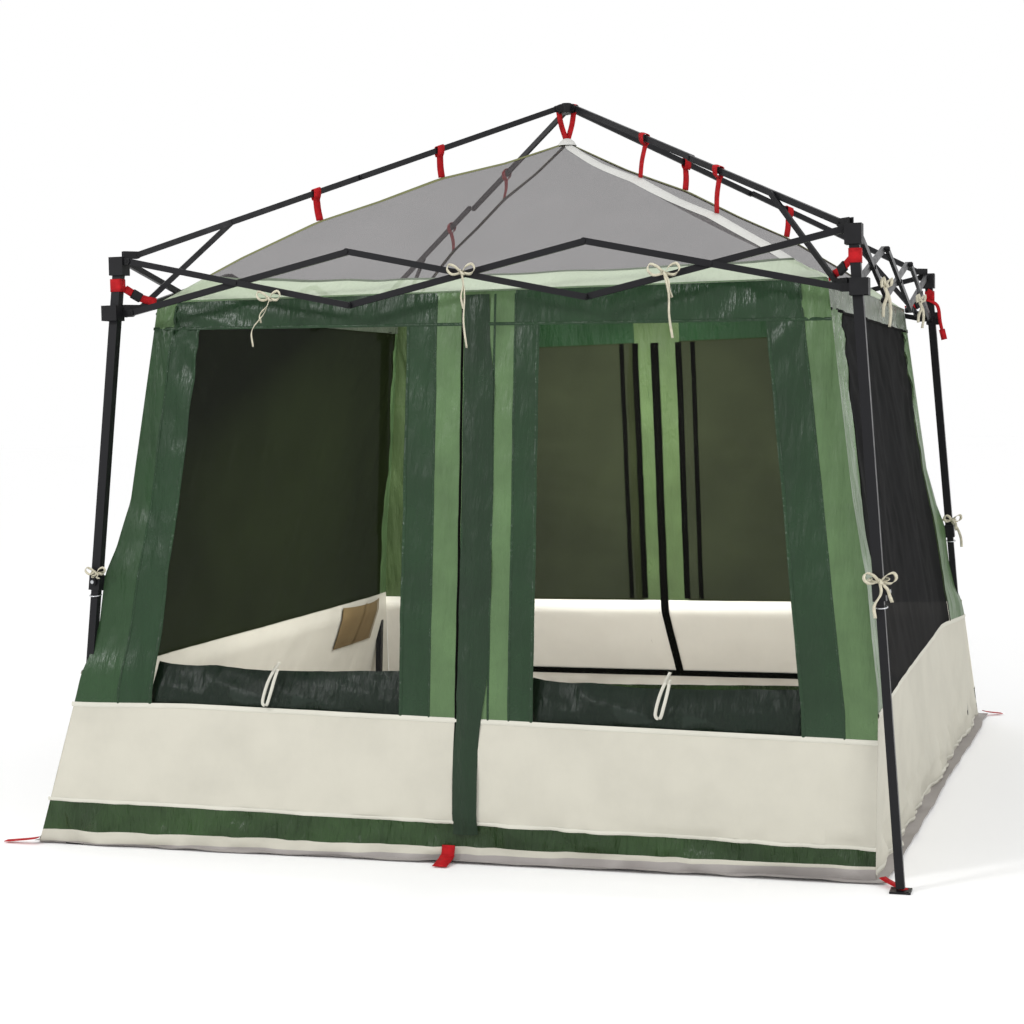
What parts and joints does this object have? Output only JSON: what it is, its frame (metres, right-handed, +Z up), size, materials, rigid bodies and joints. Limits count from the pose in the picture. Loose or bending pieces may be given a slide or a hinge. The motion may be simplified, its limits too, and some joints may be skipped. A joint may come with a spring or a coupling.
{
  "type": "pop up gazebo",
  "caption": "Folding frame gazebo with slanted telescopic legs, scissor trusses, jointed roof poles and a hung screen tent with mesh roof and windows.",
  "frame": {"origin": "middle of the leg square, on the ground", "axes": "+Z up, +X to the right seen from the front wall, +Y towards the back wall"},
  "size_m": [2.89, 3.175, 2.523],
  "materials": {
    "black_steel": "semi-gloss black powder coat",
    "black_plastic": "fine-grained moulded nylon",
    "button_steel": "zinc-plated",
    "roof_mesh": "fine grey insect mesh",
    "wall_cloth": "creased coated nylon",
    "floor_cloth": "woven polyethylene"
  },
  "bodies": {
    "bar_front_1": {"bar_front_1": "black_steel"},
    "bar_front_2": {"bar_front_2": "black_steel"},
    "bar_front_3": {"bar_front_3": "black_steel"},
    "bar_front_4": {"bar_front_4": "black_steel"},
    "bar_front_5": {"bar_front_5": "black_steel"},
    "bar_front_6": {"bar_front_6": "black_steel"},
    "bar_right_1": {"bar_right_1": "black_steel"},
    "bar_right_2": {"bar_right_2": "black_steel"},
    "bar_right_3": {"bar_right_3": "black_steel"},
    "bar_right_4": {"bar_right_4": "black_steel"},
    "bar_right_5": {"bar_right_5": "black_steel"},
    "bar_right_6": {"bar_right_6": "black_steel"},
    "bar_back_1": {"bar_back_1": "black_steel"},
    "bar_back_2": {"bar_back_2": "black_steel"},
    "bar_back_3": {"bar_back_3": "black_steel"},
    "bar_back_4": {"bar_back_4": "black_steel"},
    "bar_back_5": {"bar_back_5": "black_steel"},
    "bar_back_6": {"bar_back_6": "black_steel"},
    "bar_left_1": {"bar_left_1": "black_steel"},
    "bar_left_2": {"bar_left_2": "black_steel"},
    "bar_left_3": {"bar_left_3": "black_steel"},
    "bar_left_4": {"bar_left_4": "black_steel"},
    "bar_left_5": {"bar_left_5": "black_steel"},
    "bar_left_6": {"bar_left_6": "black_steel"},
    "bracket_fl": {"bracket_fl": "black_plastic", "roof_cover": "roof_mesh", "wall_cover": "wall_cloth", "ground_sheet": "floor_cloth"},
    "bracket_fr": {"bracket_fr": "black_plastic"},
    "bracket_br": {"bracket_br": "black_plastic"},
    "bracket_bl": {"bracket_bl": "black_plastic"},
    "slider_fl": {"slider_fl": "black_plastic"},
    "slider_fr": {"slider_fr": "black_plastic"},
    "slider_br": {"slider_br": "black_plastic"},
    "slider_bl": {"slider_bl": "black_plastic"},
    "leg_outer_fl": {"leg_outer_fl": "black_steel"},
    "leg_inner_fl": {"leg_inner_fl": "black_steel"},
    "leg_button_fl": {"leg_button_fl": "button_steel"},
    "pole_lower_fl": {"pole_lower_fl": "black_steel"},
    "pole_upper_fl": {"pole_upper_fl": "black_steel"},
    "strut_fl": {"strut_fl": "black_steel"},
    "leg_outer_fr": {"leg_outer_fr": "black_steel"},
    "leg_inner_fr": {"leg_inner_fr": "black_steel"},
    "leg_button_fr": {"leg_button_fr": "button_steel"},
    "pole_lower_fr": {"pole_lower_fr": "black_steel"},
    "pole_upper_fr": {"pole_upper_fr": "black_steel"},
    "strut_fr": {"strut_fr": "black_steel"},
    "leg_outer_br": {"leg_outer_br": "black_steel"},
    "leg_inner_br": {"leg_inner_br": "black_steel"},
    "leg_button_br": {"leg_button_br": "button_steel"},
    "pole_lower_br": {"pole_lower_br": "black_steel"},
    "pole_upper_br": {"pole_upper_br": "black_steel"},
    "strut_br": {"strut_br": "black_steel"},
    "leg_outer_bl": {"leg_outer_bl": "black_steel"},
    "leg_inner_bl": {"leg_inner_bl": "black_steel"},
    "leg_button_bl": {"leg_button_bl": "button_steel"},
    "pole_lower_bl": {"pole_lower_bl": "black_steel"},
    "pole_upper_bl": {"pole_upper_bl": "black_steel"},
    "strut_bl": {"strut_bl": "black_steel"},
    "roof_hub": {"roof_hub": "black_plastic"}
  },
  "joints": [
    {"name": "frame_fold", "type": "hinge", "parent": "bracket_fl", "child": "bar_front_1", "pos_m": [-1.165, -1.2, 1.91], "axis": [0, 1, 0], "range_deg": [0, 72.72], "deforming": ["wall_cover", "roof_cover", "ground_sheet"]},
    {"name": "front_fold_2", "type": "hinge", "parent": "bar_front_1", "child": "bar_front_2", "pos_m": [-0.77667, -1.2, 1.8255], "axis": [0, 1, 0], "range_deg": [-145.45, 0]},
    {"name": "front_fold_3", "type": "hinge", "parent": "bar_front_1", "child": "bar_front_3", "pos_m": [-0.38833, -1.2, 1.741], "axis": [0, 1, 0], "range_deg": [-145.45, 0]},
    {"name": "front_fold_4", "type": "hinge", "parent": "bar_front_2", "child": "bar_front_4", "pos_m": [-0.38833, -1.2, 1.91], "axis": [0, 1, 0], "range_deg": [0, 145.45]},
    {"name": "front_fold_6", "type": "hinge", "parent": "bar_front_4", "child": "bar_front_6", "pos_m": [0.38833, -1.2, 1.741], "axis": [0, 1, 0], "range_deg": [-145.45, 0]},
    {"name": "front_fold_5", "type": "hinge", "parent": "bar_front_6", "child": "bar_front_5", "pos_m": [0.77667, -1.2, 1.8255], "axis": [0, 1, 0], "range_deg": [0, 145.45]},
    {"name": "front_far_bracket", "type": "hinge", "parent": "bar_front_6", "child": "bracket_fr", "pos_m": [1.165, -1.2, 1.91], "axis": [0, 1, 0], "range_deg": [0, 72.72]},
    {"name": "right_fold_1", "type": "hinge", "parent": "bracket_fr", "child": "bar_right_1", "pos_m": [1.2, -1.165, 1.91], "axis": [-1, 0, 0], "range_deg": [0, 72.72]},
    {"name": "right_fold_2", "type": "hinge", "parent": "bar_right_1", "child": "bar_right_2", "pos_m": [1.2, -0.77667, 1.8255], "axis": [-1, 0, 0], "range_deg": [-145.45, 0]},
    {"name": "right_fold_3", "type": "hinge", "parent": "bar_right_1", "child": "bar_right_3", "pos_m": [1.2, -0.38833, 1.741], "axis": [-1, 0, 0], "range_deg": [-145.45, 0]},
    {"name": "right_fold_4", "type": "hinge", "parent": "bar_right_2", "child": "bar_right_4", "pos_m": [1.2, -0.38833, 1.91], "axis": [-1, 0, 0], "range_deg": [0, 145.45]},
    {"name": "right_fold_6", "type": "hinge", "parent": "bar_right_4", "child": "bar_right_6", "pos_m": [1.2, 0.38833, 1.741], "axis": [-1, 0, 0], "range_deg": [-145.45, 0]},
    {"name": "right_fold_5", "type": "hinge", "parent": "bar_right_6", "child": "bar_right_5", "pos_m": [1.2, 0.77667, 1.8255], "axis": [-1, 0, 0], "range_deg": [0, 145.45]},
    {"name": "right_far_bracket", "type": "hinge", "parent": "bar_right_6", "child": "bracket_br", "pos_m": [1.2, 1.165, 1.91], "axis": [-1, 0, 0], "range_deg": [0, 72.72]},
    {"name": "back_fold_1", "type": "hinge", "parent": "bracket_br", "child": "bar_back_1", "pos_m": [1.165, 1.2, 1.91], "axis": [0, -1, 0], "range_deg": [0, 72.72]},
    {"name": "back_fold_2", "type": "hinge", "parent": "bar_back_1", "child": "bar_back_2", "pos_m": [0.77667, 1.2, 1.8255], "axis": [0, -1, 0], "range_deg": [-145.45, 0]},
    {"name": "back_fold_3", "type": "hinge", "parent": "bar_back_1", "child": "bar_back_3", "pos_m": [0.38833, 1.2, 1.741], "axis": [0, -1, 0], "range_deg": [-145.45, 0]},
    {"name": "back_fold_4", "type": "hinge", "parent": "bar_back_2", "child": "bar_back_4", "pos_m": [0.38833, 1.2, 1.91], "axis": [0, -1, 0], "range_deg": [0, 145.45]},
    {"name": "back_fold_6", "type": "hinge", "parent": "bar_back_4", "child": "bar_back_6", "pos_m": [-0.38833, 1.2, 1.741], "axis": [0, -1, 0], "range_deg": [-145.45, 0]},
    {"name": "back_fold_5", "type": "hinge", "parent": "bar_back_6", "child": "bar_back_5", "pos_m": [-0.77667, 1.2, 1.8255], "axis": [0, -1, 0], "range_deg": [0, 145.45]},
    {"name": "left_fold_6", "type": "hinge", "parent": "bracket_fl", "child": "bar_left_6", "pos_m": [-1.2, -1.165, 1.91], "axis": [1, 0, 0], "range_deg": [-72.72, 0]},
    {"name": "left_fold_5", "type": "hinge", "parent": "bar_left_6", "child": "bar_left_5", "pos_m": [-1.2, -0.77667, 1.8255], "axis": [1, 0, 0], "range_deg": [0, 145.45]},
    {"name": "left_fold_4", "type": "hinge", "parent": "bar_left_6", "child": "bar_left_4", "pos_m": [-1.2, -0.38833, 1.741], "axis": [1, 0, 0], "range_deg": [0, 145.45]},
    {"name": "left_fold_3", "type": "hinge", "parent": "bar_left_5", "child": "bar_left_3", "pos_m": [-1.2, -0.38833, 1.91], "axis": [1, 0, 0], "range_deg": [-145.45, 0]},
    {"name": "left_fold_2", "type": "hinge", "parent": "bar_left_4", "child": "bar_left_2", "pos_m": [-1.2, 0.38833, 1.91], "axis": [1, 0, 0], "range_deg": [-145.45, 0]},
    {"name": "left_fold_1", "type": "hinge", "parent": "bar_left_2", "child": "bar_left_1", "pos_m": [-1.2, 0.77667, 1.8255], "axis": [1, 0, 0], "range_deg": [0, 145.45]},
    {"name": "left_far_bracket", "type": "hinge", "parent": "bar_left_1", "child": "bracket_bl", "pos_m": [-1.2, 1.165, 1.91], "axis": [1, 0, 0], "range_deg": [-72.72, 0]},
    {"name": "slider_fl_level", "type": "hinge", "parent": "bar_front_2", "child": "slider_fl", "pos_m": [-1.165, -1.2, 1.741], "axis": [0, 1, 0], "range_deg": [0, 72.72]},
    {"name": "slider_fr_level", "type": "hinge", "parent": "bar_front_5", "child": "slider_fr", "pos_m": [1.165, -1.2, 1.741], "axis": [0, 1, 0], "range_deg": [-72.72, 0]},
    {"name": "slider_br_level", "type": "hinge", "parent": "bar_right_5", "child": "slider_br", "pos_m": [1.2, 1.165, 1.741], "axis": [-1, 0, 0], "range_deg": [-72.72, 0]},
    {"name": "slider_bl_level", "type": "hinge", "parent": "bar_left_2", "child": "slider_bl", "pos_m": [-1.2, 1.165, 1.741], "axis": [1, 0, 0], "range_deg": [0, 72.72]},
    {"name": "leg_lean_fl", "type": "hinge", "parent": "bracket_fl", "child": "leg_outer_fl", "pos_m": [-1.2, -1.2, 1.895], "axis": [0.7071, -0.7071, 0], "range_deg": [0, 4.68]},
    {"name": "leg_length_fl", "type": "slide", "parent": "leg_outer_fl", "child": "leg_inner_fl", "axis": [0.0719, 0.0719, 0.9948], "range_m": [0, 0.6]},
    {"name": "leg_button_fl", "type": "slide", "parent": "leg_outer_fl", "child": "leg_button_fl", "axis": [-0.0026, 0.9974, -0.0719], "range_m": [0, 0.004], "stiffness_N_per_m": 400},
    {"name": "pole_drop_fl", "type": "hinge", "parent": "bracket_fl", "child": "pole_lower_fl", "pos_m": [-1.15757, -1.15757, 1.933], "axis": [0.7071, -0.7071, 0], "range_deg": [-107.1, 0]},
    {"name": "strut_swing_fl", "type": "hinge", "parent": "slider_fl", "child": "strut_fl", "pos_m": [-1.1505, -1.1505, 1.759], "axis": [0.7071, -0.7071, 0], "range_deg": [0, 47.3]},
    {"name": "leg_lean_fr", "type": "hinge", "parent": "bracket_fr", "child": "leg_outer_fr", "pos_m": [1.2, -1.2, 1.895], "axis": [0.7071, 0.7071, 0], "range_deg": [0, 4.68]},
    {"name": "leg_length_fr", "type": "slide", "parent": "leg_outer_fr", "child": "leg_inner_fr", "axis": [-0.0719, 0.0719, 0.9948], "range_m": [0, 0.6]},
    {"name": "leg_button_fr", "type": "slide", "parent": "leg_outer_fr", "child": "leg_button_fr", "axis": [-0.9974, -0.0026, -0.0719], "range_m": [0, 0.004], "stiffness_N_per_m": 400},
    {"name": "pole_drop_fr", "type": "hinge", "parent": "bracket_fr", "child": "pole_lower_fr", "pos_m": [1.15757, -1.15757, 1.933], "axis": [0.7071, 0.7071, 0], "range_deg": [-107.1, 0]},
    {"name": "strut_swing_fr", "type": "hinge", "parent": "slider_fr", "child": "strut_fr", "pos_m": [1.1505, -1.1505, 1.759], "axis": [0.7071, 0.7071, 0], "range_deg": [0, 47.3]},
    {"name": "leg_lean_br", "type": "hinge", "parent": "bracket_br", "child": "leg_outer_br", "pos_m": [1.2, 1.2, 1.895], "axis": [-0.7071, 0.7071, 0], "range_deg": [0, 4.68]},
    {"name": "leg_length_br", "type": "slide", "parent": "leg_outer_br", "child": "leg_inner_br", "axis": [-0.0719, -0.0719, 0.9948], "range_m": [0, 0.6]},
    {"name": "leg_button_br", "type": "slide", "parent": "leg_outer_br", "child": "leg_button_br", "axis": [0.0026, -0.9974, -0.0719], "range_m": [0, 0.004], "stiffness_N_per_m": 400},
    {"name": "pole_drop_br", "type": "hinge", "parent": "bracket_br", "child": "pole_lower_br", "pos_m": [1.15757, 1.15757, 1.933], "axis": [-0.7071, 0.7071, 0], "range_deg": [-107.1, 0]},
    {"name": "strut_swing_br", "type": "hinge", "parent": "slider_br", "child": "strut_br", "pos_m": [1.1505, 1.1505, 1.759], "axis": [-0.7071, 0.7071, 0], "range_deg": [0, 47.3]},
    {"name": "leg_lean_bl", "type": "hinge", "parent": "bracket_bl", "child": "leg_outer_bl", "pos_m": [-1.2, 1.2, 1.895], "axis": [-0.7071, -0.7071, 0], "range_deg": [0, 4.68]},
    {"name": "leg_length_bl", "type": "slide", "parent": "leg_outer_bl", "child": "leg_inner_bl", "axis": [0.0719, -0.0719, 0.9948], "range_m": [0, 0.6]},
    {"name": "leg_button_bl", "type": "slide", "parent": "leg_outer_bl", "child": "leg_button_bl", "axis": [0.9974, 0.0026, -0.0719], "range_m": [0, 0.004], "stiffness_N_per_m": 400},
    {"name": "pole_drop_bl", "type": "hinge", "parent": "bracket_bl", "child": "pole_lower_bl", "pos_m": [-1.15757, 1.15757, 1.933], "axis": [-0.7071, -0.7071, 0], "range_deg": [-107.1, 0]},
    {"name": "strut_swing_bl", "type": "hinge", "parent": "slider_bl", "child": "strut_bl", "pos_m": [-1.1505, 1.1505, 1.759], "axis": [-0.7071, -0.7071, 0], "range_deg": [0, 47.3]},
    {"name": "knuckle_fl", "type": "hinge", "parent": "pole_lower_fl", "child": "pole_upper_fl", "pos_m": [-0.58471, -0.58471, 2.22153], "axis": [0.7071, -0.7071, 0], "range_deg": [0, 173.77]},
    {"name": "hub_level", "type": "hinge", "parent": "pole_upper_fl", "child": "roof_hub", "pos_m": [-0.03182, -0.03182, 2.5], "axis": [0.7071, -0.7071, 0], "range_deg": [-66.67, 0]},
    {"name": "pole_raise_fr", "type": "hinge", "parent": "roof_hub", "child": "pole_upper_fr", "pos_m": [0.03182, -0.03182, 2.5], "axis": [0.7071, 0.7071, 0], "range_deg": [0, 66.67]},
    {"name": "pole_raise_br", "type": "hinge", "parent": "roof_hub", "child": "pole_upper_br", "pos_m": [0.03182, 0.03182, 2.5], "axis": [-0.7071, 0.7071, 0], "range_deg": [0, 66.67]},
    {"name": "pole_raise_bl", "type": "hinge", "parent": "roof_hub", "child": "pole_upper_bl", "pos_m": [-0.03182, 0.03182, 2.5], "axis": [-0.7071, -0.7071, 0], "range_deg": [0, 66.67]}
  ],
  "couplings": [
    {"joint": "front_fold_2", "follows": "frame_fold", "ratio": -2},
    {"joint": "front_fold_3", "follows": "frame_fold", "ratio": -2},
    {"joint": "front_fold_4", "follows": "frame_fold", "ratio": 2},
    {"joint": "front_fold_6", "follows": "frame_fold", "ratio": -2},
    {"joint": "front_fold_5", "follows": "frame_fold", "ratio": 2},
    {"joint": "front_far_bracket", "follows": "frame_fold", "ratio": 1},
    {"joint": "right_fold_1", "follows": "frame_fold", "ratio": 1},
    {"joint": "right_fold_2", "follows": "frame_fold", "ratio": -2},
    {"joint": "right_fold_3", "follows": "frame_fold", "ratio": -2},
    {"joint": "right_fold_4", "follows": "frame_fold", "ratio": 2},
    {"joint": "right_fold_6", "follows": "frame_fold", "ratio": -2},
    {"joint": "right_fold_5", "follows": "frame_fold", "ratio": 2},
    {"joint": "right_far_bracket", "follows": "frame_fold", "ratio": 1},
    {"joint": "back_fold_1", "follows": "frame_fold", "ratio": 1},
    {"joint": "back_fold_2", "follows": "frame_fold", "ratio": -2},
    {"joint": "back_fold_3", "follows": "frame_fold", "ratio": -2},
    {"joint": "back_fold_4", "follows": "frame_fold", "ratio": 2},
    {"joint": "back_fold_6", "follows": "frame_fold", "ratio": -2},
    {"joint": "back_fold_5", "follows": "frame_fold", "ratio": 2},
    {"joint": "left_fold_6", "follows": "frame_fold", "ratio": -1},
    {"joint": "left_fold_5", "follows": "frame_fold", "ratio": 2},
    {"joint": "left_fold_4", "follows": "frame_fold", "ratio": 2},
    {"joint": "left_fold_3", "follows": "frame_fold", "ratio": -2},
    {"joint": "left_fold_2", "follows": "frame_fold", "ratio": -2},
    {"joint": "left_fold_1", "follows": "frame_fold", "ratio": 2},
    {"joint": "left_far_bracket", "follows": "frame_fold", "ratio": -1},
    {"joint": "slider_fl_level", "follows": "frame_fold", "ratio": 1},
    {"joint": "slider_fr_level", "follows": "frame_fold", "ratio": -1},
    {"joint": "slider_br_level", "follows": "frame_fold", "ratio": -1},
    {"joint": "slider_bl_level", "follows": "frame_fold", "ratio": 1},
    {"joint": "leg_lean_fl", "follows": "frame_fold", "ratio": 0.064331},
    {"joint": "pole_drop_fl", "follows": "frame_fold", "ratio": -1.4727},
    {"joint": "strut_swing_fl", "follows": "frame_fold", "ratio": 0.65044},
    {"joint": "leg_lean_fr", "follows": "frame_fold", "ratio": 0.064331},
    {"joint": "pole_drop_fr", "follows": "frame_fold", "ratio": -1.4727},
    {"joint": "strut_swing_fr", "follows": "frame_fold", "ratio": 0.65044},
    {"joint": "leg_lean_br", "follows": "frame_fold", "ratio": 0.064331},
    {"joint": "pole_drop_br", "follows": "frame_fold", "ratio": -1.4727},
    {"joint": "strut_swing_br", "follows": "frame_fold", "ratio": 0.65044},
    {"joint": "leg_lean_bl", "follows": "frame_fold", "ratio": 0.064331},
    {"joint": "pole_drop_bl", "follows": "frame_fold", "ratio": -1.4727},
    {"joint": "strut_swing_bl", "follows": "frame_fold", "ratio": 0.65044},
    {"joint": "knuckle_fl", "follows": "frame_fold", "ratio": 2.3895},
    {"joint": "hub_level", "follows": "frame_fold", "ratio": -0.91677},
    {"joint": "pole_raise_fr", "follows": "frame_fold", "ratio": 0.91677},
    {"joint": "pole_raise_br", "follows": "frame_fold", "ratio": 0.91677},
    {"joint": "pole_raise_bl", "follows": "frame_fold", "ratio": 0.91677}
  ]
}
